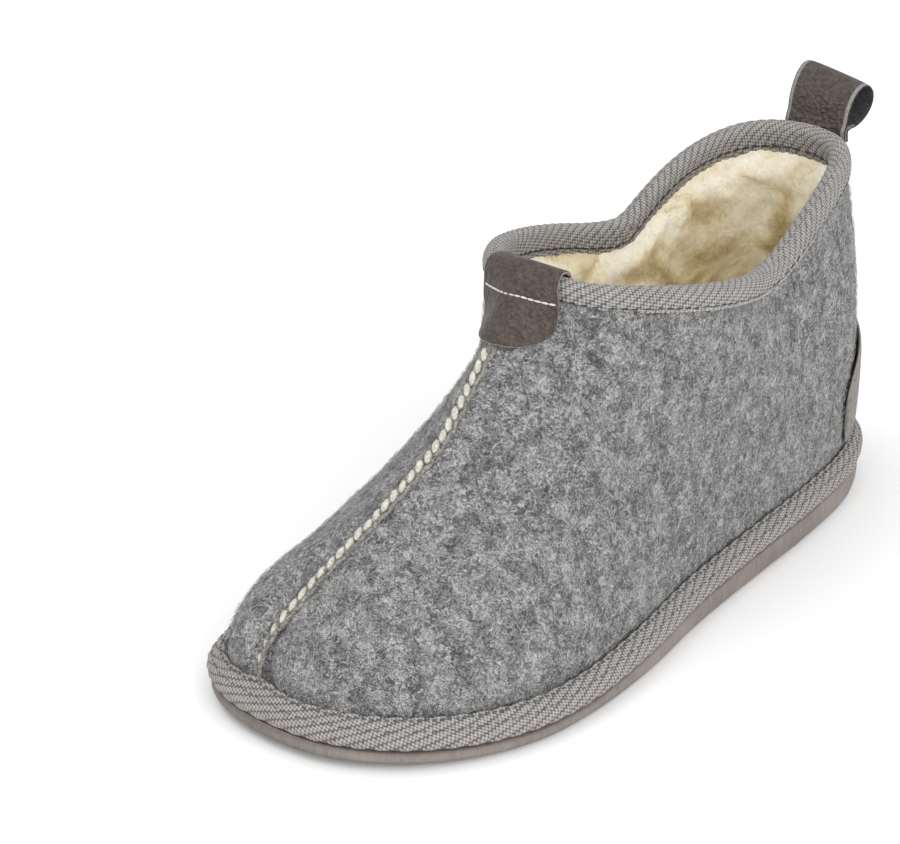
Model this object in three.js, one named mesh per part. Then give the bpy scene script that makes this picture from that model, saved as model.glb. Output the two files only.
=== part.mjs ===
// A felt slipper for the left foot, ankle high, with a rubber sole and taped edges.
// Millimetres, +Z up. The toe points to -Y, the foot's outer side to +X.
// The origin is on the sole's flat underside, at the middle of its length.
import * as THREE from 'three';

// Sole sizes
const SOLE_LENGTH = 262;
const BALL_WIDTH = 103;
const HEEL_WIDTH = 71;
const FOREFOOT_THICKNESS = 4.2;
const HEEL_THICKNESS = 9.4;
const TOE_SPRING = 3;
const SPRING_SHARE = 0.24;
const SOLE_EDGE_ROUND = 1.2;
const SOLE_GROOVE_DEPTH = 0.7;
const SOLE_GROOVE_HEIGHT = 1.1;
const INSOLE_THICKNESS = 4;
const INSOLE_PLAY = 1.3;

// Upper sizes
const THROAT_HEIGHT = 115;
const HEEL_HEIGHT = 116;
const COLLAR_WIDTH = 72;
const FELT_WALL = 3;
const HEEL_SWELL = 6.3;
const FEATHER_INSET = 4.6;
const SEAM_RIDGE_HEIGHT = 1.1;
const SEAM_RIDGE_HALF = 3.4;
const SEAM_RIDGE_FOOT = 3;

// Tape, leather and the space between touching pieces
const GAP = 0.3;
const FELT_PLAY = 0.62;
const SOLE_TAPE_PLAY = 0.86;
const TAPE_THICKNESS = 1.4;
const TAPE_ROUND = 0.5;
const COLLAR_TAPE_OUTSIDE = 5.4;
const COLLAR_TAPE_INSIDE = 8.5;
const SOLE_TAPE_RISE = 8.5;
const SOLE_TAPE_BULGE = 1.4;
const LEATHER_THICKNESS = 1.3;
const TAB_WIDTH = 26;
const TAB_SHIFT = 0.7;
const TAB_LENGTH = 23;
const TAB_FLAP = 6.5;
const TAB_FALL = 5;
const TAB_CROWN = 1;
const TAB_FLAP_PLAY = 0.35;
const COUNTER_HEIGHT = 39;
const COUNTER_SIDE_HEIGHT = 4;
const COUNTER_REACH = 0.215;
const LOOP_WIDTH = 23.5;
const LOOP_HEIGHT = 19;
const LOOP_DEPTH = 12.5;
const LOOP_TAIL = 5;
const LOOP_LEAN = 50;
const LOOP_SKEW = 9;

// How finely the pieces are cut into faces
const STATIONS_PER_SECTION = 2;
const LOWER_ROWS = 8;
const CAP_ROWS = 2;
const LOOP_STEPS = 36;

// The sole's outline, clockwise from the toe tip by the outer side.
// Columns: share of the length, share of the ball width, share of the heel width.
const OUTLINE = [
  [0.000, -0.136, 0.000],
  [0.008, 0.039, 0.000],
  [0.048, 0.214, 0.000],
  [0.117, 0.354, 0.000],
  [0.192, 0.432, 0.000],
  [0.277, 0.459, 0.000],
  [0.377, 0.452, 0.000],
  [0.500, 0.216, 0.285],
  [0.646, 0.000, 0.564],
  [0.762, 0.000, 0.540],
  [0.885, 0.000, 0.470],
  [0.971, 0.000, 0.292],
  [1.000, 0.000, 0.007],
  [0.971, 0.000, -0.254],
  [0.885, 0.000, -0.430],
  [0.762, 0.000, -0.486],
  [0.646, 0.000, -0.528],
  [0.500, -0.230, -0.285],
  [0.362, -0.500, 0.000],
  [0.238, -0.548, 0.000],
  [0.146, -0.541, 0.000],
  [0.050, -0.461, 0.000],
  [0.010, -0.311, 0.000],
];
const HEEL_ROW = 12;

// How the wedge grows. Columns: share of the length, share of the growth to the heel's thickness.
const WEDGE = [
  [0.00, 0.00],
  [0.24, 0.00],
  [0.36, 0.34],
  [0.46, 0.57],
  [0.56, 0.75],
  [0.73, 0.92],
  [1.00, 1.00],
];

// The upper's sections, from the toe to the heel. Each section rises from the rim of the sole to
// the crest, which is the middle seam up to the throat and the collar's edge behind it.
// Columns: rim, share of the rim from toe to heel; along, share of the sole length; aside, shift of
// the crest to the inner side as a share of the ball width; open, share of the collar's half width;
// throat and heel, shares of those two heights; swell, how far the foot of the wall leans out, as a
// share of the heel's swell; rise, share of the height at which the foot's handle ends; lean, share
// of the way forward to the crest that it takes; reach, fore and drop place the crest's handle: share
// of the width outwards, then shares of the height, forward and down; inner, the share of reach and
// open that the inner side takes.
const SECTIONS = [
  { rim: 0.00, along: 0.044, aside: 0.200, open: 0.00, throat: 0.148, heel: 0.00,
    swell: -0.26, rise: 0.45, lean: 0.00, reach: 0.40, fore: 0.00, drop: 0.30, inner: 1.00 },
  { rim: 0.05, along: 0.047, aside: 0.197, open: 0.00, throat: 0.200, heel: 0.00,
    swell: -0.26, rise: 0.50, lean: 0.00, reach: 0.50, fore: 0.00, drop: 0.22, inner: 1.38 },
  { rim: 0.10, along: 0.060, aside: 0.187, open: 0.00, throat: 0.262, heel: 0.00,
    swell: -0.14, rise: 0.55, lean: 0.00, reach: 0.55, fore: 0.00, drop: 0.12, inner: 1.52 },
  { rim: 0.15, along: 0.088, aside: 0.165, open: 0.00, throat: 0.333, heel: 0.00,
    swell: 0.00, rise: 0.58, lean: 0.00, reach: 0.56, fore: 0.00, drop: 0.05, inner: 1.38 },
  { rim: 0.20, along: 0.127, aside: 0.128, open: 0.00, throat: 0.413, heel: 0.00,
    swell: 0.14, rise: 0.58, lean: 0.00, reach: 0.54, fore: 0.00, drop: 0.02, inner: 1.02 },
  { rim: 0.25, along: 0.169, aside: 0.085, open: 0.00, throat: 0.487, heel: 0.00,
    swell: 0.24, rise: 0.56, lean: 0.00, reach: 0.50, fore: 0.00, drop: 0.02, inner: 0.64 },
  { rim: 0.30, along: 0.210, aside: 0.058, open: 0.00, throat: 0.552, heel: 0.00,
    swell: 0.31, rise: 0.54, lean: 0.05, reach: 0.46, fore: 0.00, drop: 0.02, inner: 0.70 },
  { rim: 0.35, along: 0.250, aside: 0.040, open: 0.00, throat: 0.617, heel: 0.00,
    swell: 0.34, rise: 0.52, lean: 0.12, reach: 0.42, fore: 0.00, drop: 0.02, inner: 0.86 },
  { rim: 0.40, along: 0.281, aside: 0.026, open: 0.00, throat: 0.705, heel: 0.00,
    swell: 0.34, rise: 0.50, lean: 0.25, reach: 0.42, fore: 0.01, drop: 0.02, inner: 0.76 },
  { rim: 0.44, along: 0.310, aside: 0.014, open: 0.00, throat: 0.810, heel: 0.00,
    swell: 0.34, rise: 0.46, lean: 0.40, reach: 0.41, fore: 0.02, drop: 0.02, inner: 0.36 },
  { rim: 0.48, along: 0.342, aside: 0.006, open: 0.00, throat: 0.918, heel: 0.00,
    swell: 0.34, rise: 0.42, lean: 0.52, reach: 0.40, fore: 0.05, drop: 0.02, inner: 0.10 },
  { rim: 0.51, along: 0.373, aside: 0.000, open: 0.00, throat: 1.000, heel: 0.00,
    swell: 0.34, rise: 0.40, lean: 0.60, reach: 0.38, fore: 0.075, drop: 0.05, inner: 0.10 },
  { rim: 0.535, along: 0.377, aside: 0.000, open: 0.36, throat: 0.992, heel: 0.00,
    swell: 0.34, rise: 0.38, lean: 0.58, reach: 0.22, fore: 0.065, drop: 0.11, inner: 0.48 },
  { rim: 0.56, along: 0.396, aside: 0.000, open: 0.56, throat: 0.975, heel: 0.00,
    swell: 0.34, rise: 0.36, lean: 0.50, reach: 0.15, fore: 0.06, drop: 0.19, inner: 0.85 },
  { rim: 0.60, along: 0.450, aside: 0.000, open: 0.80, throat: 0.950, heel: 0.00,
    swell: 0.34, rise: 0.34, lean: 0.40, reach: 0.08, fore: 0.06, drop: 0.29, inner: 0.96 },
  { rim: 0.65, along: 0.505, aside: 0.000, open: 0.94, throat: 0.920, heel: 0.00,
    swell: 0.34, rise: 0.34, lean: 0.30, reach: 0.04, fore: 0.04, drop: 0.34, inner: 1.00 },
  { rim: 0.70, along: 0.560, aside: 0.000, open: 1.00, throat: 0.893, heel: 0.00,
    swell: 0.34, rise: 0.34, lean: 0.20, reach: 0.00, fore: 0.01, drop: 0.36, inner: 1.00 },
  { rim: 0.745, along: 0.610, aside: 0.000, open: 0.97, throat: 0.868, heel: 0.00,
    swell: 0.34, rise: 0.34, lean: 0.10, reach: 0.02, fore: 0.00, drop: 0.36, inner: 1.00 },
  { rim: 0.785, along: 0.655, aside: 0.000, open: 0.88, throat: 0.845, heel: 0.00,
    swell: 0.38, rise: 0.34, lean: 0.05, reach: 0.06, fore: 0.00, drop: 0.36, inner: 1.00 },
  { rim: 0.825, along: 0.700, aside: 0.000, open: 0.80, throat: 0.835, heel: 0.00,
    swell: 0.41, rise: 0.34, lean: 0.00, reach: 0.10, fore: 0.00, drop: 0.36, inner: 1.00 },
  { rim: 0.86, along: 0.742, aside: 0.000, open: 0.79, throat: 0.000, heel: 0.870,
    swell: 0.55, rise: 0.34, lean: 0.00, reach: 0.20, fore: 0.00, drop: 0.38, inner: 1.00 },
  { rim: 0.90, along: 0.795, aside: 0.000, open: 0.765, throat: 0.000, heel: 0.925,
    swell: 0.72, rise: 0.34, lean: 0.00, reach: 0.32, fore: 0.00, drop: 0.38, inner: 1.00 },
  { rim: 0.935, along: 0.852, aside: 0.000, open: 0.69, throat: 0.000, heel: 0.968,
    swell: 0.86, rise: 0.34, lean: 0.00, reach: 0.42, fore: 0.00, drop: 0.38, inner: 1.00 },
  { rim: 0.965, along: 0.902, aside: 0.000, open: 0.55, throat: 0.000, heel: 0.990,
    swell: 0.96, rise: 0.34, lean: 0.00, reach: 0.48, fore: 0.00, drop: 0.38, inner: 1.00 },
  { rim: 0.985, along: 0.933, aside: 0.000, open: 0.31, throat: 0.000, heel: 0.998,
    swell: 1.00, rise: 0.34, lean: 0.00, reach: 0.50, fore: 0.00, drop: 0.38, inner: 1.00 },
  { rim: 1.00, along: 0.943, aside: 0.000, open: 0.00, throat: 0.000, heel: 1.000,
    swell: 1.00, rise: 0.34, lean: 0.00, reach: 0.50, fore: 0.00, drop: 0.38, inner: 1.00 },
];
const THROAT_SECTION = 11;
const STATIONS = STATIONS_PER_SECTION * (SECTIONS.length - 1);
const THROAT_STATION = STATIONS_PER_SECTION * THROAT_SECTION;
const RIDGE_STOP_STATIONS = 3;
const RIDGE_TOP_STATION = THROAT_STATION - RIDGE_STOP_STATIONS;

const OUTER_SIDE = 1;
const INNER_SIDE = -1;

// A smooth curve through a column of numbers that never swings past them.
function smoothColumn(places, values) {
  const last = places.length - 1;
  const slopes = places.map((_, k) => {
    if (k === 0 || k === last) return 0;
    const before = (values[k] - values[k - 1]) / (places[k] - places[k - 1]);
    const after = (values[k + 1] - values[k]) / (places[k + 1] - places[k]);
    return before * after <= 0 ? 0 : (2 * before * after) / (before + after);
  });
  slopes[0] = (values[1] - values[0]) / (places[1] - places[0]);
  slopes[last] = (values[last] - values[last - 1]) / (places[last] - places[last - 1]);
  return (place) => {
    let k = 0;
    while (k < last - 1 && place > places[k + 1]) k += 1;
    const span = places[k + 1] - places[k];
    const s = THREE.MathUtils.clamp((place - places[k]) / span, 0, 1);
    const back = 1 - s;
    return values[k] * back * back * (1 + 2 * s) + values[k + 1] * s * s * (3 - 2 * s)
      + span * s * back * (slopes[k] * back - slopes[k + 1] * s);
  };
}

// The rim of the sole as two runs of points, from the toe tip to the heel's end.
const RIM_SAMPLES = 1200;
const outlineCurve = new THREE.CatmullRomCurve3(OUTLINE.map(([along, ball, heel]) => new THREE.Vector3(
  ball * BALL_WIDTH + heel * HEEL_WIDTH, (along - 0.5) * SOLE_LENGTH, 0)), true, 'centripetal');
outlineCurve.arcLengthDivisions = RIM_SAMPLES;
const outlineLengths = outlineCurve.getLengths(RIM_SAMPLES);
const outerRun = outlineLengths[Math.round((HEEL_ROW / OUTLINE.length) * RIM_SAMPLES)]
  / outlineLengths[RIM_SAMPLES];

// A point of the rim and the direction that points away from the sole there.
function rimAt(side, share) {
  const place = side === OUTER_SIDE ? share * outerRun : 1 - share * (1 - outerRun);
  const turn = ((place % 1) + 1) % 1;
  const tangent = outlineCurve.getTangentAt(turn);
  return {
    point: outlineCurve.getPointAt(turn),
    outward: new THREE.Vector3(tangent.y, -tangent.x, 0).normalize(),
  };
}

const wedgeGrowth = smoothColumn(WEDGE.map((row) => row[0]), WEDGE.map((row) => row[1]));
const shareAlong = (y) => y / SOLE_LENGTH + 0.5;

function soleUnderside(y) {
  const lift = Math.max(0, SPRING_SHARE - shareAlong(y)) / SPRING_SHARE;
  return TOE_SPRING * lift * lift;
}

function soleTop(y) {
  const growth = wedgeGrowth(THREE.MathUtils.clamp(shareAlong(y), 0, 1));
  return soleUnderside(y) + FOREFOOT_THICKNESS + (HEEL_THICKNESS - FOREFOOT_THICKNESS) * growth;
}

// One smooth function for each column of the sections, over the sections' own count.
const sectionPlaces = SECTIONS.map((_, k) => k / (SECTIONS.length - 1));
const sectionValue = Object.fromEntries(Object.keys(SECTIONS[0]).map((name) => [
  name, smoothColumn(sectionPlaces, SECTIONS.map((row) => row[name]))]));
const crestHeights = SECTIONS.map((row) => row.throat * THROAT_HEIGHT + row.heel * HEEL_HEIGHT);
const crestHeight = smoothColumn(sectionPlaces, crestHeights);

// The section of the upper's outer face at one place, as a curve from the rim to the crest.
function sectionCurve(side, place) {
  const value = (name) => sectionValue[name](place);
  const { point, outward } = rimAt(side, value('rim'));
  const foot = point.clone().addScaledVector(outward, -FEATHER_INSET);
  foot.z = soleTop(foot.y) + GAP;
  const fullness = side === INNER_SIDE ? value('inner') : 1;
  const crest = new THREE.Vector3(
    side * value('open') * fullness * COLLAR_WIDTH / 2 - value('aside') * BALL_WIDTH,
    (value('along') - 0.5) * SOLE_LENGTH,
    crestHeight(place),
  );
  const height = crest.z - foot.z;
  const lower = foot.clone().addScaledVector(outward, value('swell') * HEEL_SWELL);
  lower.y += value('lean') * (crest.y - foot.y);
  lower.z += value('rise') * height;
  const spread = Math.hypot(foot.x - crest.x, foot.y - crest.y);
  const upper = crest.clone().addScaledVector(outward, value('reach') * fullness * spread);
  upper.y -= value('fore') * height;
  upper.z -= value('drop') * height;
  return new THREE.CubicBezierCurve3(foot, lower, upper, crest);
}

// Distances from the crest at which the rows of faces follow the seam's ridge and the collar.
const RIDGE_MARGIN = 3;
const RIDGE_SHOULDER = 0.45;
const CREST_SHARE_LIMIT = 0.5;
const CREST_ROWS = [SEAM_RIDGE_HALF + RIDGE_MARGIN, SEAM_RIDGE_HALF, SEAM_RIDGE_HALF * RIDGE_SHOULDER, 0];
const ROWS = LOWER_ROWS + CREST_ROWS.length;

function rowShare(row, length) {
  const firstCrest = 1 - Math.min(CREST_ROWS[0] / length, CREST_SHARE_LIMIT);
  if (row < LOWER_ROWS) return firstCrest * (row / LOWER_ROWS);
  const distance = CREST_ROWS[row - LOWER_ROWS];
  return 1 - (1 - firstCrest) * (distance / CREST_ROWS[0]);
}

// A net of points with shared corners, and its faces.
class Net {
  constructor() {
    this.points = [];
    this.faces = [];
  }

  add(point) {
    this.points.push(point.clone());
    return this.points.length - 1;
  }

  // Joins two runs of corners by faces that look to the left of the first run's direction.
  bridge(first, second) {
    for (let k = 0; k + 1 < first.length; k += 1) {
      this.face(first[k], first[k + 1], second[k + 1]);
      this.face(first[k], second[k + 1], second[k]);
    }
  }

  face(a, b, c) {
    if (a !== b && b !== c && a !== c) this.faces.push([a, b, c]);
  }

  normals() {
    const sums = this.points.map(() => new THREE.Vector3());
    this.faces.forEach(([a, b, c]) => {
      const normal = this.points[b].clone().sub(this.points[a])
        .cross(this.points[c].clone().sub(this.points[a]));
      [a, b, c].forEach((corner) => sums[corner].add(normal));
    });
    return sums.map((sum) => sum.normalize());
  }

  volume() {
    return this.faces.reduce((sum, [a, b, c]) => sum
      + this.points[a].dot(this.points[b].clone().cross(this.points[c])) / 6, 0);
  }

  geometry() {
    const turned = this.volume() < 0;
    const geometry = new THREE.BufferGeometry();
    const flat = this.points.flatMap((point) => point.toArray());
    geometry.setAttribute('position', new THREE.Float32BufferAttribute(flat, 3));
    geometry.setIndex(this.faces.flatMap(([a, b, c]) => (turned ? [a, c, b] : [a, b, c])));
    geometry.computeVertexNormals();
    return geometry;
  }
}

// Closes a belt of ring-shaped sections, each ring a list of points, into one ring-shaped body.
function ringBody(rings) {
  const net = new Net();
  const corners = rings.map((ring) => ring.map((point) => net.add(point)));
  corners.forEach((ring, k) => {
    const next = corners[(k + 1) % corners.length];
    net.bridge([...ring, ring[0]], [...next, next[0]]);
  });
  return net.geometry();
}

// Closes a plate from two equal grids of points, its outer and its inner face.
function plateBody(outerGrid, innerGrid) {
  const net = new Net();
  const outer = outerGrid.map((line) => line.map((point) => net.add(point)));
  const inner = innerGrid.map((line) => line.map((point) => net.add(point)));
  const last = outer.length - 1;
  for (let k = 0; k < last; k += 1) {
    net.bridge(outer[k + 1], outer[k]);
    net.bridge(inner[k], inner[k + 1]);
  }
  const edgeOf = (grid) => [
    ...grid[0],
    ...grid.slice(1).map((line) => line[line.length - 1]),
    ...grid[last].slice(0, -1).reverse(),
    ...grid.slice(1, -1).map((line) => line[0]).reverse(),
    grid[0][0],
  ];
  net.bridge(edgeOf(outer), edgeOf(inner));
  return net.geometry();
}

// Evens out the wall below the throat's corner, where the sections turn from seam to collar.
const EASE_STATIONS = 9;
const EASE_PASSES = 6;
const EASE_TOP_ROW = LOWER_ROWS + 1;
const EASE_FADE_ROWS = 3;
const EASE_STEP = 0.5;

function easeThroat(net, lines) {
  for (let pass = 0; pass < EASE_PASSES; pass += 1) {
    for (let row = 1; row <= EASE_TOP_ROW; row += 1) {
      const run = lines.map((line) => net.points[line[row]].clone());
      for (let k = 1 - EASE_STATIONS; k < EASE_STATIONS; k += 1) {
        const station = THROAT_STATION + k;
        const nearness = 1 - Math.abs(k) / EASE_STATIONS;
        const height = Math.min(1, (EASE_TOP_ROW + 1 - row) / EASE_FADE_ROWS);
        const middle = run[station - 1].clone().add(run[station + 1]).multiplyScalar(0.5);
        net.points[lines[station][row]].lerp(middle, EASE_STEP * nearness * height);
      }
    }
  }
}

// The upper's outer face: both sides share the toe line, the middle seam and the heel line.
function feltNet() {
  const net = new Net();
  const grid = { [OUTER_SIDE]: [], [INNER_SIDE]: [] };
  for (let station = 0; station <= STATIONS; station += 1) {
    const place = station / STATIONS;
    [OUTER_SIDE, INNER_SIDE].forEach((side) => {
      const curve = sectionCurve(side, place);
      const length = curve.getLength();
      const line = [];
      for (let row = 0; row < ROWS; row += 1) {
        const endLine = station === 0 || station === STATIONS;
        const onSeam = row === ROWS - 1 && station <= THROAT_STATION;
        const shared = side === INNER_SIDE && (endLine || onSeam);
        line.push(shared ? grid[OUTER_SIDE][station][row] : net.add(curve.getPointAt(rowShare(row, length))));
      }
      grid[side].push(line);
    });
  }
  [OUTER_SIDE, INNER_SIDE].forEach((side) => easeThroat(net, grid[side]));
  for (let station = 0; station < STATIONS; station += 1) {
    net.bridge(grid[OUTER_SIDE][station], grid[OUTER_SIDE][station + 1]);
    net.bridge(grid[INNER_SIDE][station + 1], grid[INNER_SIDE][station]);
  }
  return { net, grid };
}

const felt = feltNet();
const turnedIn = felt.net.normals()[felt.grid[OUTER_SIDE][STATIONS / 2][2]].x < 0;
const feltNormals = felt.net.normals().map((normal) => (turnedIn ? normal.negate() : normal));

// How far the seam's ridge stands out on one row of the net. It fades out below the throat.
const RIDGE_FADE_STATIONS = 3;
const RIDGE_STEEPNESS = 1.6;

function ridgeLift(station, row) {
  const fade = THREE.MathUtils.clamp((RIDGE_TOP_STATION - station) / RIDGE_FADE_STATIONS, 0, 1);
  const distance = row < LOWER_ROWS ? SEAM_RIDGE_HALF : CREST_ROWS[row - LOWER_ROWS];
  const share = Math.max(0, 1 - distance / SEAM_RIDGE_HALF);
  return SEAM_RIDGE_HEIGHT * fade * Math.min(1, share * RIDGE_STEEPNESS);
}

// The felt wall: the outer face with its seam ridge, the inner face one wall further in.
function upperGeometry() {
  const net = new Net();
  const lift = new Map();
  [OUTER_SIDE, INNER_SIDE].forEach((side) => felt.grid[side].forEach((line, station) => {
    line.forEach((corner, row) => lift.set(corner, ridgeLift(station, row)));
  }));
  const { points, faces } = felt.net;
  points.forEach((point, k) => net.add(point.clone().addScaledVector(feltNormals[k], lift.get(k))));
  const bottom = new Set([OUTER_SIDE, INNER_SIDE].flatMap((side) => felt.grid[side].map((line) => line[0])));
  points.forEach((point, k) => {
    const inside = point.clone().addScaledVector(feltNormals[k], -FELT_WALL);
    if (bottom.has(k)) inside.z = point.z;
    net.add(inside);
  });
  const count = points.length;
  faces.forEach(([a, b, c]) => {
    net.face(a, b, c);
    net.face(a + count, c + count, b + count);
  });
  const edges = new Map();
  faces.forEach((corners) => corners.forEach((corner, k) => {
    const next = corners[(k + 1) % 3];
    const twin = `${next}_${corner}`;
    if (edges.has(twin)) edges.delete(twin);
    else edges.set(`${corner}_${next}`, [corner, next]);
  }));
  edges.forEach(([a, b]) => {
    net.face(b, a, a + count);
    net.face(b, a + count, b + count);
  });
  return net.geometry();
}

// Points of the felt's outer face, each with the direction that points out of the felt there.
const feltTriangles = felt.net.faces.map((corners) => ({
  corners,
  triangle: new THREE.Triangle(...corners.map((corner) => felt.net.points[corner])),
}));

function feltSpot(triangle, corners, spot) {
  const weights = triangle.getBarycoord(spot, new THREE.Vector3()).toArray();
  const normal = new THREE.Vector3();
  corners.forEach((corner, k) => normal.addScaledVector(feltNormals[corner], weights[k]));
  return { spot: spot.clone(), normal: normal.normalize() };
}

function onFelt(point) {
  const spot = new THREE.Vector3();
  let best = { distance: Infinity };
  feltTriangles.forEach(({ corners, triangle }) => {
    triangle.closestPointToPoint(point, spot);
    const distance = spot.distanceToSquared(point);
    if (distance < best.distance) best = { distance, spot: spot.clone(), corners, triangle };
  });
  return feltSpot(best.triangle, best.corners, best.spot);
}

// The first point of the felt straight behind a point that is looked at from outside.
function behindOnFelt(point, facing) {
  const ray = new THREE.Ray(point.clone().addScaledVector(facing, SOLE_LENGTH / 4), facing.clone().negate());
  const spot = new THREE.Vector3();
  let best = { distance: Infinity };
  feltTriangles.forEach(({ corners, triangle }) => {
    if (ray.intersectTriangle(triangle.a, triangle.b, triangle.c, false, spot) === null) return;
    const distance = spot.distanceToSquared(ray.origin);
    if (distance < best.distance) best = { distance, spot: spot.clone(), corners, triangle };
  });
  return best.triangle ? feltSpot(best.triangle, best.corners, best.spot) : onFelt(point);
}

// The collar's edge as a closed run of frames, from the throat by the outer side to the heel and back.
function collarFrames() {
  const edge = [];
  for (let station = THROAT_STATION + 1; station <= STATIONS; station += 1) edge.push([OUTER_SIDE, station]);
  for (let station = STATIONS - 1; station > THROAT_STATION; station -= 1) edge.push([INNER_SIDE, station]);
  const corners = edge.map(([side, station]) => felt.grid[side][station][ROWS - 1]);
  corners.unshift(felt.grid[OUTER_SIDE][THROAT_STATION][ROWS - 1]);
  return corners.map((corner, k) => {
    const before = felt.net.points[corners[(k + corners.length - 1) % corners.length]];
    const after = felt.net.points[corners[(k + 1) % corners.length]];
    const tangent = after.clone().sub(before).normalize();
    const normal = feltNormals[corner].clone();
    const down = tangent.clone().cross(normal).normalize();
    if (down.z > 0) down.negate();
    return { point: felt.net.points[corner], normal, down };
  });
}

// The tape folded over the collar: two legs joined by a crown.
function collarBindingGeometry() {
  const outside = FELT_PLAY + TAPE_THICKNESS;
  const rings = collarFrames().map(({ point, normal, down }) => {
    const below = (fall) => onFelt(point.clone().addScaledVector(down, fall));
    const pressed = (depth) => [below(depth), below(depth / 2)];
    const outer = pressed(COLLAR_TAPE_OUTSIDE);
    const inner = pressed(COLLAR_TAPE_INSIDE);
    const leg = (felted, lift) => felted.spot.clone().addScaledVector(felted.normal, lift);
    const top = (lift, raise) => point.clone().addScaledVector(normal, lift).addScaledVector(down, -raise);
    return [
      leg(outer[0], outside - TAPE_ROUND), leg(outer[1], outside), top(outside, 0), top(GAP, outside),
      top(-FELT_WALL - GAP, outside), top(-FELT_WALL - outside, 0),
      leg(inner[1], -FELT_WALL - outside), leg(inner[0], -FELT_WALL - outside + TAPE_ROUND),
      leg(inner[0], -FELT_WALL - FELT_PLAY), leg(inner[1], -FELT_WALL - FELT_PLAY),
      top(-FELT_WALL - FELT_PLAY, GAP), top(FELT_PLAY, GAP),
      leg(outer[1], FELT_PLAY), leg(outer[0], FELT_PLAY),
    ];
  });
  return ringBody(rings);
}

// A point of the felt's outer face at a height above its foot, measured along the section.
function feltAbove(side, place, rise) {
  const curve = sectionCurve(side, place);
  const length = curve.getLength();
  const point = curve.getPointAt(Math.min(1, rise / length));
  return onFelt(point);
}

// The tape's outer face below its shoulder. Columns: share of the tape's bulge, share of its rise.
const SOLE_TAPE_FACE = [
  [-0.29, 0.00],
  [0.80, 0.22],
  [1.00, 0.50],
];
const SOLE_TAPE_SHOULDER = 0.5;
const SHOULDER_SHARE = 0.55;
const EDGE_SHARE = 0.7;

// The tape rolled round the sole's edge, in one ring outside the felt's foot.
function soleBindingGeometry() {
  const stations = [];
  for (let station = 0; station <= STATIONS; station += 1) stations.push([OUTER_SIDE, station]);
  for (let station = STATIONS - 1; station > 0; station -= 1) stations.push([INNER_SIDE, station]);
  const rings = stations.map(([side, station]) => {
    const place = station / STATIONS;
    const { point, outward } = rimAt(side, sectionValue.rim(place));
    const seat = soleTop(point.y) + GAP;
    const edge = (out, height) => {
      const spot = point.clone().addScaledVector(outward, out);
      spot.z = seat + height;
      return spot;
    };
    const felted = (rise, lift) => {
      const { spot, normal } = behindOnFelt(edge(0, rise), outward);
      return spot.addScaledVector(normal, lift);
    };
    const inner = [SOLE_TAPE_RISE, SOLE_TAPE_RISE / 2].map((rise) => felted(rise, SOLE_TAPE_PLAY));
    const foot = feltAbove(side, place, 0);
    const footOut = foot.spot.addScaledVector(foot.normal, SOLE_TAPE_PLAY);
    footOut.z = seat;
    const face = SOLE_TAPE_FACE.map(([out, rise]) => edge(SOLE_TAPE_BULGE * out, SOLE_TAPE_RISE * rise));
    const shoulder = face[face.length - 1].clone()
      .lerp(felted(SOLE_TAPE_RISE, GAP + TAPE_THICKNESS), SHOULDER_SHARE)
      .addScaledVector(outward, SOLE_TAPE_SHOULDER);
    const top = felted(SOLE_TAPE_RISE, GAP + TAPE_THICKNESS * EDGE_SHARE);
    return [...face, shoulder, top, ...inner, footOut];
  });
  return ringBody(rings);
}

// A body with the sole's outline: side rings from below to above, closed by two caps.
function soleShapedGeometry(levels) {
  const net = new Net();
  const ringPoint = (side, station, { inset, height }) => {
    const { point, outward } = rimAt(side, station / STATIONS);
    const spot = point.clone().addScaledVector(outward, -inset);
    spot.z = height(spot.y);
    return spot;
  };
  const rings = levels.map((level) => {
    const outer = [];
    const inner = [];
    for (let station = 0; station <= STATIONS; station += 1) {
      outer.push(net.add(ringPoint(OUTER_SIDE, station, level)));
      const shared = station === 0 || station === STATIONS;
      inner.push(shared ? outer[station] : net.add(ringPoint(INNER_SIDE, station, level)));
    }
    return { outer, inner };
  });
  for (let k = 0; k + 1 < rings.length; k += 1) {
    net.bridge(rings[k].outer, rings[k + 1].outer);
    net.bridge(rings[k + 1].inner, rings[k].inner);
  }
  const cap = ({ outer, inner }, { height }, flip) => {
    const lines = outer.map((corner, station) => {
      if (corner === inner[station]) return Array(CAP_ROWS + 1).fill(corner);
      const line = [corner];
      for (let k = 1; k < CAP_ROWS; k += 1) {
        const spot = net.points[corner].clone().lerp(net.points[inner[station]], k / CAP_ROWS);
        spot.z = height(spot.y);
        line.push(net.add(spot));
      }
      return [...line, inner[station]];
    });
    for (let k = 0; k < STATIONS; k += 1) {
      if (flip) net.bridge(lines[k + 1], lines[k]);
      else net.bridge(lines[k], lines[k + 1]);
    }
  };
  cap(rings[rings.length - 1], levels[levels.length - 1], true);
  cap(rings[0], levels[0], false);
  return net.geometry();
}

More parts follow.
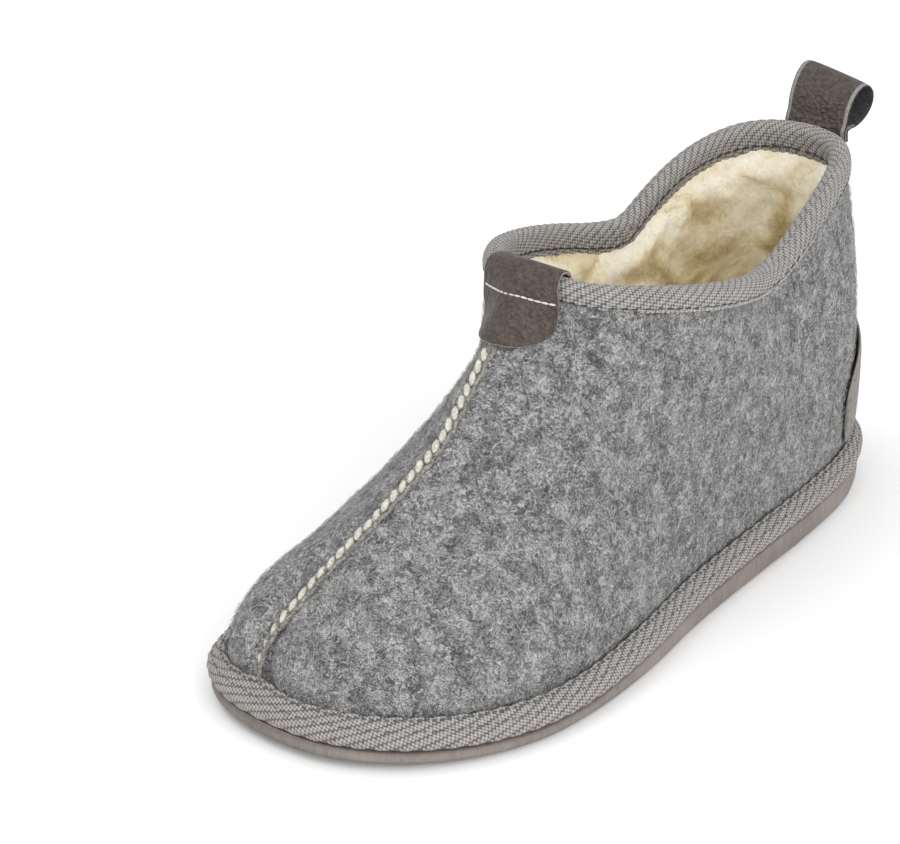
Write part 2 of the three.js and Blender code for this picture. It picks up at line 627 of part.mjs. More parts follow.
const GROOVE_SLOPE_SHARE = 0.7;
const outsoleLevels = [
  { inset: SOLE_EDGE_ROUND, height: (y) => soleUnderside(y) },
  { inset: 0, height: (y) => soleUnderside(y) + SOLE_EDGE_ROUND },
  { inset: 0, height: (y) => soleTop(y) - SOLE_GROOVE_HEIGHT },
  { inset: SOLE_GROOVE_DEPTH, height: (y) => soleTop(y) - SOLE_GROOVE_HEIGHT * GROOVE_SLOPE_SHARE },
  { inset: SOLE_GROOVE_DEPTH, height: (y) => soleTop(y) },
];
const INSOLE_EDGE_ROUND = 1.2;
const insoleInset = FEATHER_INSET + FELT_WALL + INSOLE_PLAY;
const insoleLevels = [
  { inset: insoleInset, height: (y) => soleTop(y) + GAP },
  { inset: insoleInset, height: (y) => soleTop(y) + GAP + INSOLE_THICKNESS - INSOLE_EDGE_ROUND },
  { inset: insoleInset + INSOLE_EDGE_ROUND, height: (y) => soleTop(y) + GAP + INSOLE_THICKNESS },
];

// The leather tab over the collar's front: an outer tongue with a round end and a short inner flap.
const TAB_ACROSS = 10;
const TAB_DOWN = 12;
const TAB_ROUNDING = 0.5;
const TAB_CORNER = 0.97;

// A frame of the collar's edge at a distance from the throat, to the outer side when positive.
function collarFrameAt(distance) {
  const frames = collarFrames();
  const count = frames.length;
  const step = distance < 0 ? -1 : 1;
  let left = Math.abs(distance);
  let k = 0;
  for (;;) {
    const here = frames[(k + count) % count];
    const next = frames[(k + step + count) % count];
    const span = here.point.distanceTo(next.point);
    if (left <= span) {
      const share = left / span;
      return {
        point: here.point.clone().lerp(next.point, share),
        normal: here.normal.clone().lerp(next.normal, share).normalize(),
        down: here.down.clone().lerp(next.down, share).normalize(),
      };
    }
    left -= span;
    k += step;
  }
}

// The tab's fold over the collar's tape, from the inner to the outer side. Columns: shares of the way
// in, of the way out, of the leather for the lift; shares of the tape and of the leather for the rise.
const TAB_FOLD = [
  [1.0, 0.0, -0.7, 0.6, 0.0],
  [0.6, 0.0, 0.0, 1.0, 1.0],
  [0.08, 0.0, 0.0, 1.0, 1.0],
  [0.0, 1.0, 0.6, 0.7, 0.4],
];

function throatTabGeometry() {
  const { normal: facing, down: fall } = collarFrameAt(0);
  const overTape = FELT_PLAY + TAPE_THICKNESS + 2 * GAP;
  const inward = -FELT_WALL - overTape - TAB_FLAP_PLAY;
  const outer = [];
  const inner = [];
  for (let k = 0; k <= TAB_ACROSS; k += 1) {
    const share = Math.sin(((2 * k) / TAB_ACROSS - 1) * Math.PI / 2);
    const { point: start, normal, down } = collarFrameAt(share * TAB_WIDTH / 2 - TAB_SHIFT);
    const length = TAB_LENGTH - TAB_WIDTH * TAB_ROUNDING * (1 - Math.sqrt(1 - TAB_CORNER * share * share));
    [[outer, LEATHER_THICKNESS], [inner, 0]].forEach(([grid, thickness]) => {
      const over = (lift, depth) => start.clone().addScaledVector(normal, lift).addScaledVector(down, depth);
      const flap = (depth) => {
        const pressed = behindOnFelt(start.clone().addScaledVector(fall, depth), facing);
        return pressed.spot.addScaledVector(pressed.normal, inward - thickness);
      };
      const fold = TAB_FOLD.map(([way, out, leather, tape, lift]) => over(
        inward * way + overTape * out + thickness * leather,
        -overTape * tape - thickness * lift,
      ));
      const line = [flap(TAB_FLAP), flap(TAB_FLAP / 2), ...fold];
      for (let row = 0; row <= TAB_DOWN; row += 1) {
        const depth = TAB_CROWN + (length - TAB_CROWN) * (row / TAB_DOWN);
        const pressed = behindOnFelt(start.clone().addScaledVector(fall, depth), facing);
        const past = depth - COLLAR_TAPE_OUTSIDE - LEATHER_THICKNESS;
        const settle = THREE.MathUtils.smoothstep(past, 0, TAB_FALL);
        const lift = THREE.MathUtils.lerp(overTape, SEAM_RIDGE_HEIGHT + GAP, settle) + thickness;
        line.push(pressed.spot.addScaledVector(pressed.normal, lift));
      }
      grid.push(line);
    });
  }
  return plateBody(outer, inner);
}

// The counter: a low leather patch round the heel, with a round top.
const COUNTER_COLUMNS = 20;
const COUNTER_ROWS = 6;

function heelCounterGeometry() {
  const outer = [];
  const inner = [];
  const foot = SOLE_TAPE_RISE + TAPE_THICKNESS;
  for (let k = 0; k <= COUNTER_COLUMNS; k += 1) {
    const share = (2 * k) / COUNTER_COLUMNS - 1;
    const side = share < 0 ? INNER_SIDE : OUTER_SIDE;
    const place = 1 - Math.abs(share) * COUNTER_REACH;
    const arch = Math.sqrt(1 - share * share);
    const top = foot + COUNTER_SIDE_HEIGHT + (COUNTER_HEIGHT - COUNTER_SIDE_HEIGHT) * arch;
    const lines = [[], []];
    for (let row = 0; row <= COUNTER_ROWS; row += 1) {
      const rise = foot + (top - foot) * (row / COUNTER_ROWS);
      const { spot, normal } = feltAbove(side, place, rise);
      lines[0].push(spot.clone().addScaledVector(normal, FELT_PLAY + LEATHER_THICKNESS));
      lines[1].push(spot.clone().addScaledVector(normal, FELT_PLAY));
    }
    outer.push(lines[0]);
    inner.push(lines[1]);
  }
  return plateBody(outer, inner);
}

// The strap's way round the loop, from the end of one leg to the end of the other.
// Columns: share of the loop's height, share of its half depth.
const LOOP_WAY = [
  [0.10, -0.24],
  [0.26, -0.66],
  [0.56, -0.98],
  [0.82, -0.86],
  [0.98, -0.36],
  [0.98, 0.36],
  [0.82, 0.86],
  [0.56, 0.98],
  [0.26, 0.66],
  [0.10, 0.24],
];

// The pull loop: a strap whose two ends lie on each other behind the collar's tape, and which opens
// above them into a drop-shaped loop that leans back.
function pullLoopGeometry() {
  const heel = felt.net.points[felt.grid[OUTER_SIDE][STATIONS][ROWS - 1]];
  const { normal, down } = collarFrames().find((frame) => frame.point === heel);
  const lean = THREE.MathUtils.degToRad(LOOP_LEAN);
  const along = new THREE.Vector3(0, Math.sin(lean), Math.cos(lean));
  const across = new THREE.Vector3(0, Math.cos(lean), -Math.sin(lean));
  const apart = (LEATHER_THICKNESS + GAP) / 2;
  const root = heel.clone().addScaledVector(normal, FELT_PLAY + TAPE_THICKNESS + GAP + LEATHER_THICKNESS
    + GAP / 2);
  const skew = Math.tan(THREE.MathUtils.degToRad(LOOP_SKEW)) / (LOOP_HEIGHT * along.z);
  const tail = (lift, depth) => root.clone().addScaledVector(normal, lift).addScaledVector(down, depth);
  const way = new THREE.CatmullRomCurve3([
    tail(-apart, LOOP_TAIL), tail(-apart, LOOP_TAIL / 2), tail(-apart, 0),
    ...LOOP_WAY.map(([rise, depth]) => root.clone().addScaledVector(along, rise * LOOP_HEIGHT)
      .addScaledVector(across, depth * LOOP_DEPTH / 2)),
    tail(apart, 0), tail(apart, LOOP_TAIL / 2), tail(apart, LOOP_TAIL),
  ], false, 'centripetal');
  const sides = [-LOOP_WIDTH / 2, 0, LOOP_WIDTH / 2];
  const face = (lift) => sides.map((x) => {
    const line = [];
    for (let k = 0; k <= LOOP_STEPS; k += 1) {
      const tangent = way.getTangentAt(k / LOOP_STEPS);
      const spot = way.getPointAt(k / LOOP_STEPS);
      const sag = x * skew * Math.max(0, spot.z - root.z);
      line.push(new THREE.Vector3(spot.x + x, spot.y - tangent.z * lift, spot.z + tangent.y * lift - sag));
    }
    return line;
  });
  return plateBody(face(LEATHER_THICKNESS / 2), face(-LEATHER_THICKNESS / 2));
}

function piece(name, geometry, color, roughness) {
  const mesh = new THREE.Mesh(geometry, new THREE.MeshStandardMaterial({ color, roughness, metalness: 0 }));
  mesh.name = name;
  return mesh;
}

const slipper = new THREE.Group();
slipper.name = 'felt_slipper';
slipper.add(
  piece('outsole', soleShapedGeometry(outsoleLevels), 0x6f655f, 0.75),
  piece('insole', soleShapedGeometry(insoleLevels), 0xe2d8c0, 0.95),
  piece('upper', upperGeometry(), 0x8f8f90, 0.95),
  piece('sole_binding', soleBindingGeometry(), 0xa39d97, 0.85),
  piece('collar_binding', collarBindingGeometry(), 0xa39d97, 0.85),
  piece('throat_tab', throatTabGeometry(), 0x5d534d, 0.55),
  piece('heel_counter', heelCounterGeometry(), 0x5d534d, 0.55),
  piece('pull_loop', pullLoopGeometry(), 0x5d534d, 0.55),
);

export default slipper;
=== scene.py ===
# A felt slipper with taped edges, leather patches and a fleece lining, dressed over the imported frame.
# Metres, +Z up. The toe points to -Y and the foot's outer side to +X.
import math

import bpy
import numpy as np
from mathutils import Matrix, Vector, noise
from mathutils.bvhtree import BVHTree
from mathutils.kdtree import KDTree


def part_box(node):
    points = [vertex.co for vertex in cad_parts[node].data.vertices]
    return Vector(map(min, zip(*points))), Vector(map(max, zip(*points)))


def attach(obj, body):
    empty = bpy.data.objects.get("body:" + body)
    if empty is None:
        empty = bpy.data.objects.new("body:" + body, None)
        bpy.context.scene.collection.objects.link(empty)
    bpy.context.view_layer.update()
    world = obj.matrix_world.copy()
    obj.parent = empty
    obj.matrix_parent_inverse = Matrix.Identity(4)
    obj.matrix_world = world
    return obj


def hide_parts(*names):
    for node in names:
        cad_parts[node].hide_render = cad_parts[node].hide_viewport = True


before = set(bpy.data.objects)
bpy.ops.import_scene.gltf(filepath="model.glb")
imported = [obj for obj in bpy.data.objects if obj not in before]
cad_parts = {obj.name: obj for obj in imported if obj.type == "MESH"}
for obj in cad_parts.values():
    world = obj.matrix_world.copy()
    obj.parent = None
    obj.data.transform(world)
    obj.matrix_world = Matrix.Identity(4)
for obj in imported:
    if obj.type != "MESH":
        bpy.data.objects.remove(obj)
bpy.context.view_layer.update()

MM = 0.001

# Camera, as in the photograph
CAMERA_PLACE = Vector((0.4086, -0.5718, 0.3972))
CAMERA_AIM = Vector((-0.0523, -0.0027, 0.0400))
CAMERA_LENS = 104.0
CAMERA_SENSOR = 36.0
CAMERA_NEAR = 0.05

# Room: the lamps' name, place in metres, side in metres and power in watts
LAMPS = [
    ("key", (-0.4, -0.7, 1.6), 1.2, 9.0),
    ("fill", (1.5, -0.6, 0.9), 1.4, 20.0),
]
LAMP_AIM = Vector((0, 0, 0.05))
FLOOR_SIDE = 6.0
FLOOR_TONE = 0.86
FLOOR_ROUGHNESS = 0.9
ROOM_LIGHT = 1.0

# Middles that the collar and the sole run round, and steps of a full turn
COLLAR_CENTRE = Vector((0.0, 40.0, 0.0)) * MM
SOLE_CENTRE = Vector((-4.0, -20.0, 0.0)) * MM
RING_STEPS = 360

# Points of the middle seam from the throat down to the toe: x, y, z in mm.
SEAM_LINE = [
    (-0.6, -44.0, 100.5),
    (-1.0, -48.0, 95.0),
    (-1.8, -52.0, 88.6),
    (-3.0, -59.0, 78.7),
    (-4.0, -64.5, 71.0),
    (-6.0, -76.0, 63.4),
    (-8.5, -87.0, 55.5),
    (-11.5, -96.0, 48.0),
    (-14.0, -103.0, 42.0),
    (-16.3, -108.0, 37.4),
    (-18.3, -113.0, 33.0),
    (-19.5, -115.0, 29.0),
    (-21.0, -118.5, 21.8),
    (-21.3, -119.5, 17.0),
    (-21.5, -120.0, 12.5),
]

# The rolled tapes' weave: slanting ribs of small beads. Lengths in mm.
COLLAR_WEAVE = {"turn": math.radians(46), "rib": 2.5, "bead": 1.25, "shade": 0.75}
SOLE_WEAVE = {"turn": math.radians(27), "rib": 2.8, "bead": 1.25, "shade": 0.76}
RIB_DEPTH = 0.28 * MM
RIB_REST = 0.6
SOLE_TAPE_LEAN = 0.8

# Unevenness of each fabric, coarse to fine. Columns: size and height in mm, seed.
FELT_LUMPS = [(34.0, 0.5, 3.1), (3.2, 0.22, 7.7)]
SOCK_LUMPS = [(5.0, 1.0, 5.3), (2.0, 0.5, 9.1)]
LINING_LUMPS = [(11.0, 2.6, 2.2), (4.2, 1.1, 4.9), (1.6, 0.5, 6.4)]
SEED_SHARES = (1.0, 0.37, 0.71)

# How flat a face may lie to the felt and still count as a leather patch's cut edge
RIM_FACING = 0.45

MERGE_DISTANCE = 0.02 * MM
QUAD_ANGLE = math.radians(60)


def activate(piece):
    bpy.ops.object.select_all(action="DESELECT")
    piece.select_set(True)
    bpy.context.view_layer.objects.active = piece


def apply_modifier(piece, kind, **settings):
    activate(piece)
    modifier = piece.modifiers.new(kind.lower(), kind)
    for name, value in settings.items():
        setattr(modifier, name, value)
    bpy.ops.object.modifier_apply(modifier=modifier.name)


def subdivide_smoothly(piece, levels):
    apply_modifier(piece, "SUBSURF", levels=levels, render_levels=levels)
    activate(piece)
    bpy.ops.object.shade_smooth()


def copy_of(node, name):
    """A piece of its own with a CAD node's shape, its loose triangles merged into quads."""
    piece = bpy.data.objects.new(name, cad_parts[node].data.copy())
    bpy.context.scene.collection.objects.link(piece)
    piece.data.materials.clear()
    activate(piece)
    bpy.ops.mesh.customdata_custom_splitnormals_clear()
    bpy.ops.object.mode_set(mode="EDIT")
    bpy.ops.mesh.select_all(action="SELECT")
    bpy.ops.mesh.remove_doubles(threshold=MERGE_DISTANCE)
    bpy.ops.mesh.tris_convert_to_quads(face_threshold=QUAD_ANGLE, shape_threshold=QUAD_ANGLE)
    bpy.ops.object.mode_set(mode="OBJECT")
    return piece


def points_of(piece):
    flat = np.zeros(len(piece.data.vertices) * 3)
    piece.data.vertices.foreach_get("co", flat)
    return flat.reshape(-1, 3)


def set_points(piece, points):
    piece.data.vertices.foreach_set("co", points.ravel())
    piece.data.update()


def normals_of(piece):
    flat = np.zeros(len(piece.data.vertices) * 3)
    piece.data.vertices.foreach_get("normal", flat)
    return flat.reshape(-1, 3)


def surface_of(piece):
    polygons = [tuple(face.vertices) for face in piece.data.polygons]
    return BVHTree.FromPolygons([vertex.co.copy() for vertex in piece.data.vertices], polygons)


def finish_piece(piece, slot, *nodes):
    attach(piece, "root")
    if nodes:
        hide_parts(*nodes)


# Materials


class Nodes:
    """A material's node tree, with short calls for the nodes that every finish uses."""

    def __init__(self, name):
        self.material = bpy.data.materials.new(name)
        self.material.use_nodes = True
        self.tree = self.material.node_tree
        self.shader = self.tree.nodes["Principled BSDF"]

    def add(self, kind, **settings):
        node = self.tree.nodes.new(kind)
        for name, value in settings.items():
            setattr(node, name, value)
        return node

    def link(self, source, target):
        self.tree.links.new(source, target)

    def place(self, source, scale=(1, 1, 1), turn=(0, 0, 0)):
        coordinates = self.add("ShaderNodeTexCoord")
        mapping = self.add("ShaderNodeMapping")
        mapping.inputs["Scale"].default_value = scale
        mapping.inputs["Rotation"].default_value = turn
        self.link(coordinates.outputs[source], mapping.inputs["Vector"])
        return mapping.outputs["Vector"]

    def cloud(self, vector, scale, detail, roughness=0.55, distortion=0.0):
        """Soft noise; scale is in lumps per metre."""
        node = self.add("ShaderNodeTexNoise")
        self.link(vector, node.inputs["Vector"])
        node.inputs["Scale"].default_value = scale
        node.inputs["Detail"].default_value = detail
        node.inputs["Roughness"].default_value = roughness
        node.inputs["Distortion"].default_value = distortion
        return node.outputs["Fac"]

    def math(self, operation, first, second=0.0, third=0.0):
        node = self.add("ShaderNodeMath", operation=operation)
        for socket, value in zip(node.inputs, (first, second, third)):
            if isinstance(value, (int, float)):
                socket.default_value = value
            else:
                self.link(value, socket)
        return node.outputs[0]

    def ramp(self, value, stops):
        node = self.add("ShaderNodeValToRGB")
        elements = node.color_ramp.elements
        while len(elements) < len(stops):
            elements.new(0.5)
        for element, (place, colour) in zip(elements, stops):
            element.position = place
            element.color = (*colour, 1.0)
        self.link(value, node.inputs["Fac"])
        return node.outputs["Color"]

    def bump(self, height, depth, below=None):
        node = self.add("ShaderNodeBump")
        node.inputs["Distance"].default_value = depth
        self.link(height, node.inputs["Height"])
        if below is not None:
            self.link(below, node.inputs["Normal"])
        return node.outputs["Normal"]

    def finish(self, colour, roughness, normal, **sockets):
        self.link(colour, self.shader.inputs["Base Color"])
        self.shader.inputs["Roughness"].default_value = roughness
        self.link(normal, self.shader.inputs["Normal"])
        for name, value in sockets.items():
            self.shader.inputs[name.replace("_", " ")].default_value = value
        return self.material


# The felt's clouds, from patches to single hairs.
# Columns: lumps per metre, roughness, distortion, weight in the tone, depth of the relief in mm.
FELT_CLOUDS = [
    (190, 0.5, 0.6, 0.35, 0.0),
    (560, 0.5, 1.6, 0.55, 0.8),
    (1050, 0.6, 3.5, 0.70, 0.6),
    (1900, 0.6, 4.0, 0.70, 0.3),
]
FELT_CONTRAST = 2.7
FELT_TONE_SHIFT = -2.65


def felt_finish():
    n = Nodes("heathered_felt")
    place = n.place("Object")
    tone = 0.0
    normal = None
    for scale, roughness, distortion, weight, depth in FELT_CLOUDS:
        cloud = n.cloud(place, scale, 1.0, roughness, distortion)
        tone = n.math("MULTIPLY_ADD", cloud, weight, tone)
        if depth:
            normal = n.bump(cloud, depth * MM, normal)
    tone = n.math("MULTIPLY_ADD", tone, FELT_CONTRAST, FELT_TONE_SHIFT)
    colour = n.ramp(tone, [
        (0.08, (0.040, 0.039, 0.041)),
        (0.34, (0.150, 0.148, 0.150)),
        (0.58, (0.300, 0.295, 0.296)),
        (0.92, (0.620, 0.612, 0.610)),
    ])
    return n.finish(colour, 0.95, normal, Sheen_Weight=0.2, Sheen_Roughness=0.6, Specular_IOR_Level=0.2)


def tape_finish(name, weave):
    n = Nodes(name)
    split = n.add("ShaderNodeSeparateXYZ")
    n.link(n.place("UV", turn=(0, 0, weave["turn"])), split.inputs[0])
    sway = n.math("MULTIPLY_ADD", n.cloud(n.place("Object"), 420, 2.0), 0.5, -0.25)
    along = n.math("ADD", split.outputs[0], sway)
    over = n.math("ADD", split.outputs[1], sway)
    rows = 2 * weave["rib"] / 3
    lengthwise = n.math("COSINE", n.math("MULTIPLY", along, 2 * math.pi / weave["bead"]))
    crosswise = n.math("COSINE", n.math("MULTIPLY", over, 2 * math.pi / rows))
    beads = n.math("MULTIPLY", lengthwise, crosswise)
    valley = n.math("DIVIDE", n.math("PINGPONG", over, weave["rib"] / 2), weave["rib"] / 2)
    valley = n.math("POWER", valley, 4.0)
    height = n.math("MULTIPLY_ADD", beads, 0.26, 0.62)
    height = n.math("MULTIPLY_ADD", valley, -0.30, height)
    wear = n.cloud(n.place("Object"), 700, 4.0, 0.7)
    # The colour follows the weave's height: painted shade between the beads and in the valleys between the
    # ribs, with random wear on top.
    tone = n.math("MULTIPLY_ADD", wear, 0.55, n.math("MULTIPLY_ADD", height, 1.15, -0.44))
    shades = [
        (0.15, (0.085, 0.078, 0.071)),
        (0.42, (0.245, 0.233, 0.222)),
        (0.60, (0.360, 0.344, 0.330)),
        (0.88, (0.550, 0.528, 0.510)),
    ]
    colour = n.ramp(tone, [(stop, tuple(weave["shade"] * part for part in shade)) for stop, shade in shades])
    normal = n.bump(height, 0.40 * MM)
    return n.finish(colour, 0.85, normal, Sheen_Weight=0.1, Specular_IOR_Level=0.3)


def leather_finish(name, dark, light):
    n = Nodes(name)
    place = n.place("Object")
    pebble = n.add("ShaderNodeTexVoronoi", feature="SMOOTH_F1")
    warp = n.add("ShaderNodeVectorMath", operation="MULTIPLY_ADD")
    drift = n.add("ShaderNodeTexNoise")
    n.link(place, drift.inputs["Vector"])
    drift.inputs["Scale"].default_value = 330
    n.link(drift.outputs["Color"], warp.inputs[0])
    warp.inputs[1].default_value = (1.8 * MM, 1.8 * MM, 1.8 * MM)
    n.link(place, warp.inputs[2])
    n.link(warp.outputs[0], pebble.inputs["Vector"])
    pebble.inputs["Scale"].default_value = 700
    pebble.inputs["Smoothness"].default_value = 0.3
    raised = n.math("SUBTRACT", 1.0, pebble.outputs["Distance"])
    creases = n.cloud(n.place("Object", scale=(1, 1, 2.2), turn=(0.5, 0.3, 0.4)), 240, 2.0, 0.5, 1.2)
    # The colour follows the relief: painted shade in the gaps between the pebbles and in the creases.
    tone = n.math("MULTIPLY_ADD", creases, 0.5, n.math("MULTIPLY", raised, 0.45))
    colour = n.ramp(tone, [(0.36, dark), (0.68, light)])
    normal = n.bump(raised, 0.70 * MM)
    normal = n.bump(creases, 0.7 * MM, normal)
    return n.finish(colour, 0.5, normal, Specular_IOR_Level=0.35)


def plain_finish(name, dark, light, scale, depth, roughness, **sockets):
    """A finish of one colour that varies a little, with a fine grain."""
    n = Nodes(name)
    grain = n.cloud(n.place("Object"), scale, 5.0, 0.65, 1.0)
    colour = n.ramp(grain, [(0.35, dark), (0.68, light)])
    return n.finish(colour, roughness, n.bump(grain, depth), **sockets)


def rubber_finish():
    n = Nodes("scuffed_rubber")
    streaks = n.cloud(n.place("Object", scale=(1, 1, 0.12)), 900, 4.0, 0.6)
    patches = n.cloud(n.place("Object"), 60, 3.0)
    tone = n.math("MULTIPLY_ADD", streaks, 0.5, n.math("MULTIPLY", patches, 0.5))
    colour = n.ramp(tone, [
        (0.35, (0.150, 0.128, 0.113)),
        (0.65, (0.235, 0.208, 0.190)),
    ])
    normal = n.bump(streaks, 0.12 * MM)
    return n.finish(colour, 0.72, normal, Specular_IOR_Level=0.35)


def fleece_finish(name, painted_shade_by_height, start):
    """Cream pile; the second argument is how much paler it gets with height, painted shade that leaves it
    darker and more golden low down, and start its tone at the sole. The pile also glows faintly with its own
    colour, as painted light.
    """
    n = Nodes(name)
    place = n.place("Object")
    flow = n.cloud(n.place("Object", scale=(1, 0.6, 1)), 52, 2.0, 0.5, 1.4)
    curls = n.cloud(place, 300, 3.0, 0.55, 2.0)
    fine = n.cloud(place, 1300, 3.0, 0.7, 3.0)
    depth = n.add("ShaderNodeSeparateXYZ")
    n.link(place, depth.inputs[0])
    # Painted shade: the pile is darker and more golden low down and paler up towards the collar.
    high = n.math("MULTIPLY_ADD", depth.outputs[2], 8.0, -0.26)
    tone = n.math("MULTIPLY_ADD", curls, 0.17, n.math("MULTIPLY", fine, 0.07))
    tone = n.math("MULTIPLY_ADD", flow, 0.66, tone)
    tone = n.math("ADD", n.math("MULTIPLY_ADD", high, painted_shade_by_height, tone), start)
    colour = n.ramp(tone, [
        (0.42, (0.350, 0.255, 0.095)),
        (0.52, (0.600, 0.490, 0.280)),
        (0.62, (0.790, 0.710, 0.530)),
        (0.78, (0.870, 0.820, 0.700)),
    ])
    normal = n.bump(curls, 1.1 * MM)
    normal = n.bump(fine, 0.5 * MM, normal)
    # Painted light: the pile glows faintly with its own colour, as if lit through the wool.
    n.link(colour, n.shader.inputs["Emission Color"])
    return n.finish(colour, 0.95, normal, Sheen_Weight=0.3, Specular_IOR_Level=0.2, Emission_Strength=0.22)


FELT = felt_finish()
COLLAR_TAPE = tape_finish("collar_twill", COLLAR_WEAVE)
SOLE_TAPE = tape_finish("sole_twill", SOLE_WEAVE)
LEATHER = leather_finish("pebbled_leather", (0.042, 0.032, 0.026), (0.076, 0.061, 0.051))
PALE_LEATHER = leather_finish("pale_leather", (0.150, 0.130, 0.117), (0.232, 0.206, 0.188))
RAW_EDGE = plain_finish("raw_leather_edge", (0.15, 0.136, 0.124), (0.29, 0.27, 0.25), 1500, 0.15 * MM, 0.9)
# Grey suede for the loop's inner face, painted near-black with the shade that falls inside the loop.
SUEDE_PAINTED_DARK = plain_finish("suede_painted_dark_with_shade", (0.012, 0.012, 0.013), (0.060, 0.059, 0.060), 900, 0.5 * MM, 0.95)
RUBBER = rubber_finish()
# Both fleeces glow faintly with painted light; the lining is also painted darker low down as shade.
FLEECE = fleece_finish("wool_fleece", 0.36, 0.0)
SOCK_FLEECE = fleece_finish("sock_fleece", 0.0, 0.10)
YARN = plain_finish(
    "cream_yarn", (0.30, 0.28, 0.24), (0.74, 0.70, 0.62), 1300, 0.35 * MM, 0.9, Sheen_Weight=0.2)
DARK_YARN = plain_finish("mixed_yarn", (0.045, 0.043, 0.040), (0.36, 0.34, 0.30), 1100, 0.35 * MM, 0.9)
SELVEDGE = plain_finish("selvedge_thread", (0.20, 0.19, 0.18), (0.44, 0.42, 0.40), 1500, 0.1 * MM, 0.8)
LIGHT_THREAD = plain_finish("light_thread", (0.42, 0.40, 0.36), (0.68, 0.65, 0.60), 1500, 0.1 * MM, 0.7)
BLACK_THREAD = plain_finish(
    "black_thread", (0.006, 0.006, 0.006), (0.022, 0.021, 0.020), 1500, 0.1 * MM, 0.55)
GREY_THREAD = plain_finish("grey_thread", (0.05, 0.048, 0.044), (0.12, 0.116, 0.108), 1500, 0.1 * MM, 0.7)
HAIR = plain_finish("felt_hair", (0.06, 0.059, 0.06), (0.70, 0.69, 0.68), 420, 0.02 * MM, 0.95)


# Upper: the felt wall


def soften(points, normals, lumps):
    """Moves points along their normals by soft noise, one row of a table of lumps after another."""
    for size, height, seed in lumps:
        shift = Vector([seed * share for share in SEED_SHARES])
        lifts = np.array([noise.noise(Vector(point) / (size * MM) + shift) for point in points])
        points = points + normals * (lifts * (height * MM))[:, None]
    return points


def build_upper():
    piece = copy_of("upper", "felt_upper")
    subdivide_smoothly(piece, 2)
    set_points(piece, soften(points_of(piece), normals_of(piece), FELT_LUMPS))
    piece.data.materials.append(FELT)
    finish_piece(piece, "grey_felt", "upper")
    return piece


felt_upper = build_upper()
felt_surface = surface_of(felt_upper)


# Tapes: a map that runs along each tape in mm, and across it in mm


def turn_about(points, centre):
    return np.arctan2(points[:, 0] - centre.x, -(points[:, 1] - centre.y))


def smoothed(values):
    """A closed row of values, each averaged with its neighbours."""
    return (np.roll(values, 1) + 2 * values + np.roll(values, -1)) / 4


def unit(rows):
    return rows / np.linalg.norm(rows, axis=1)[:, None]


def run_of(points, centre):
    """A tape's crest by its turn about the centre: points, with the ways along, out and down."""
    turns = turn_about(points, centre)
    radii = np.hypot(points[:, 0] - centre.x, points[:, 1] - centre.y)
    edges = np.linspace(-math.pi, math.pi, RING_STEPS // 4 + 1)
    angles, middles, tops = [], [], []
    for low, high in zip(edges[:-1], edges[1:]):
        inside = (turns >= low) & (turns < high)
        if inside.any():
            angles.append((low + high) / 2)
            middles.append((radii[inside].max() + radii[inside].min()) / 2)
            tops.append(points[inside, 2].max())
    angles = np.array(angles)
    middles = smoothed(smoothed(np.array(middles)))
    tops = smoothed(np.array(tops))
    fine = np.linspace(-math.pi, math.pi, 2 * RING_STEPS, endpoint=False)
    middle = np.interp(fine, angles, middles, period=2 * math.pi)
    top = np.interp(fine, angles, tops, period=2 * math.pi)
    line = np.stack([centre.x + middle * np.sin(fine), centre.y - middle * np.cos(fine), top], axis=1)
    along = unit(np.roll(line, -1, axis=0) - np.roll(line, 1, axis=0))
    out = unit(np.cross(along, (0.0, 0.0, 1.0)))
    steps = np.linalg.norm(np.roll(line, -1, axis=0) - line, axis=1)
    lengths = np.concatenate([[0.0], np.cumsum(steps)[:-1]])
    return {"angles": angles, "tops": tops, "line": line, "along": along, "out": out,
            "down": np.cross(along, out), "lengths": lengths, "total": steps.sum()}


def map_tape(piece, centre, across, weave):
    """Lays the weave along a tape, square to its run, and raises its ribs."""
    points = points_of(piece)
    run = run_of(points, centre)
    tree = KDTree(len(run["line"]))
    for k, spot in enumerate(run["line"]):
        tree.insert(spot, k)
    tree.balance()
    nearest = np.array([tree.find(point)[1] for point in points])
    offsets = points - run["line"][nearest]
    along = run["lengths"][nearest] + (offsets * run["along"][nearest]).sum(axis=1)
    out = (offsets * run["out"][nearest]).sum(axis=1)
    below = (offsets * run["down"][nearest]).sum(axis=1)
    over = across(out, below)
    layer = piece.data.uv_layers.new(name="weave")
    for face in piece.data.polygons:
        runs = [along[v] for v in face.vertices]
        crosses = max(runs) - min(runs) > run["total"] / 2
        for loop in face.loop_indices:
            v = piece.data.loops[loop].vertex_index
            lap = run["total"] if crosses and along[v] < run["total"] / 2 else 0.0
            layer.data[loop].uv = ((along[v] + lap) / MM, over[v] / MM)
    slant = (np.sin(weave["turn"]) * along + np.cos(weave["turn"]) * over) / MM
    ribs = np.cos(slant * math.pi / weave["rib"]) ** 2
    lift = (ribs - RIB_REST) * RIB_DEPTH
    set_points(piece, points + normals_of(piece) * lift[:, None])
    return run


def build_collar_tape():
    piece = copy_of("collar_binding", "collar_tape")
    subdivide_smoothly(piece, 3)
    run = map_tape(piece, COLLAR_CENTRE, lambda out, below: np.sign(out) * below + out, COLLAR_WEAVE)
    piece.data.materials.append(COLLAR_TAPE)
    finish_piece(piece, "edge_tape", "collar_binding")
    return piece, run


def build_sole_tape():
    piece = copy_of("sole_binding", "sole_tape")
    subdivide_smoothly(piece, 3)
    run = map_tape(piece, SOLE_CENTRE, lambda out, below: out * SOLE_TAPE_LEAN + below, SOLE_WEAVE)
    piece.data.materials.append(SOLE_TAPE)
    finish_piece(piece, "edge_tape", "sole_binding")
    return piece, run


